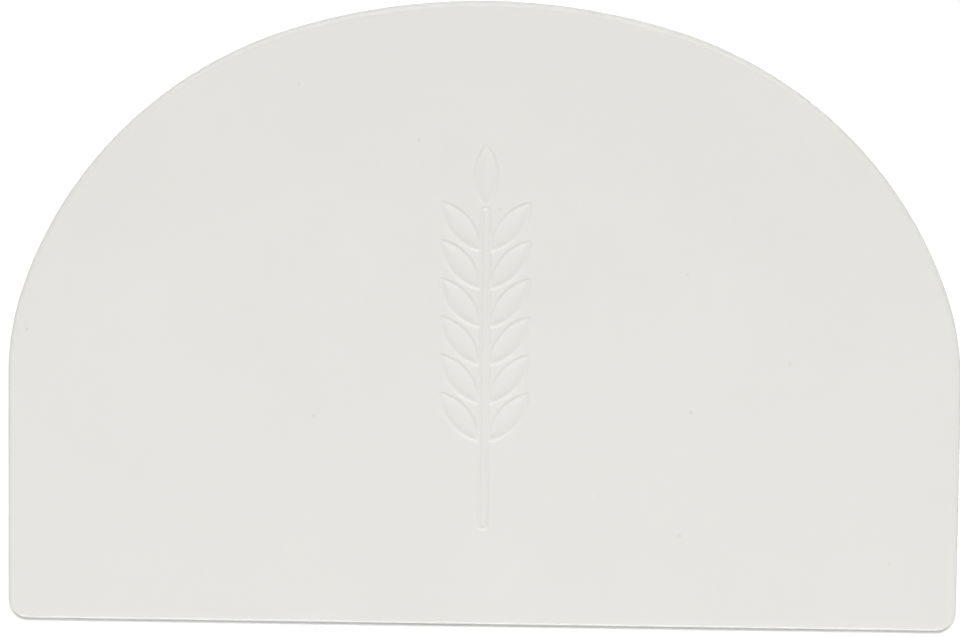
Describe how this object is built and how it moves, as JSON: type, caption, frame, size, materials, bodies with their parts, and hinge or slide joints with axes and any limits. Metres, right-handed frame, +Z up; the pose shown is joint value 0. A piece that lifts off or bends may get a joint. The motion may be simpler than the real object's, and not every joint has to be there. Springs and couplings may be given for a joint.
{
  "type": "dough scraper",
  "caption": "Flexible D-shaped plastic plate with a straight edge for cutting dough and a rounded crown for scraping bowls.",
  "frame": {"origin": "under the middle of the plate, on the surface that its back face lies on", "axes": "+X along the straight edge, +Y from the straight edge to the crown, +Z up through the thickness from the back face to the front face"},
  "size_m": [0.12, 0.08, 0.002],
  "materials": {
    "white_plastic": "satin, moulded, slightly warm white"
  },
  "bodies": {
    "root": {"scraper_plate": "white_plastic"}
  },
  "joints": []
}
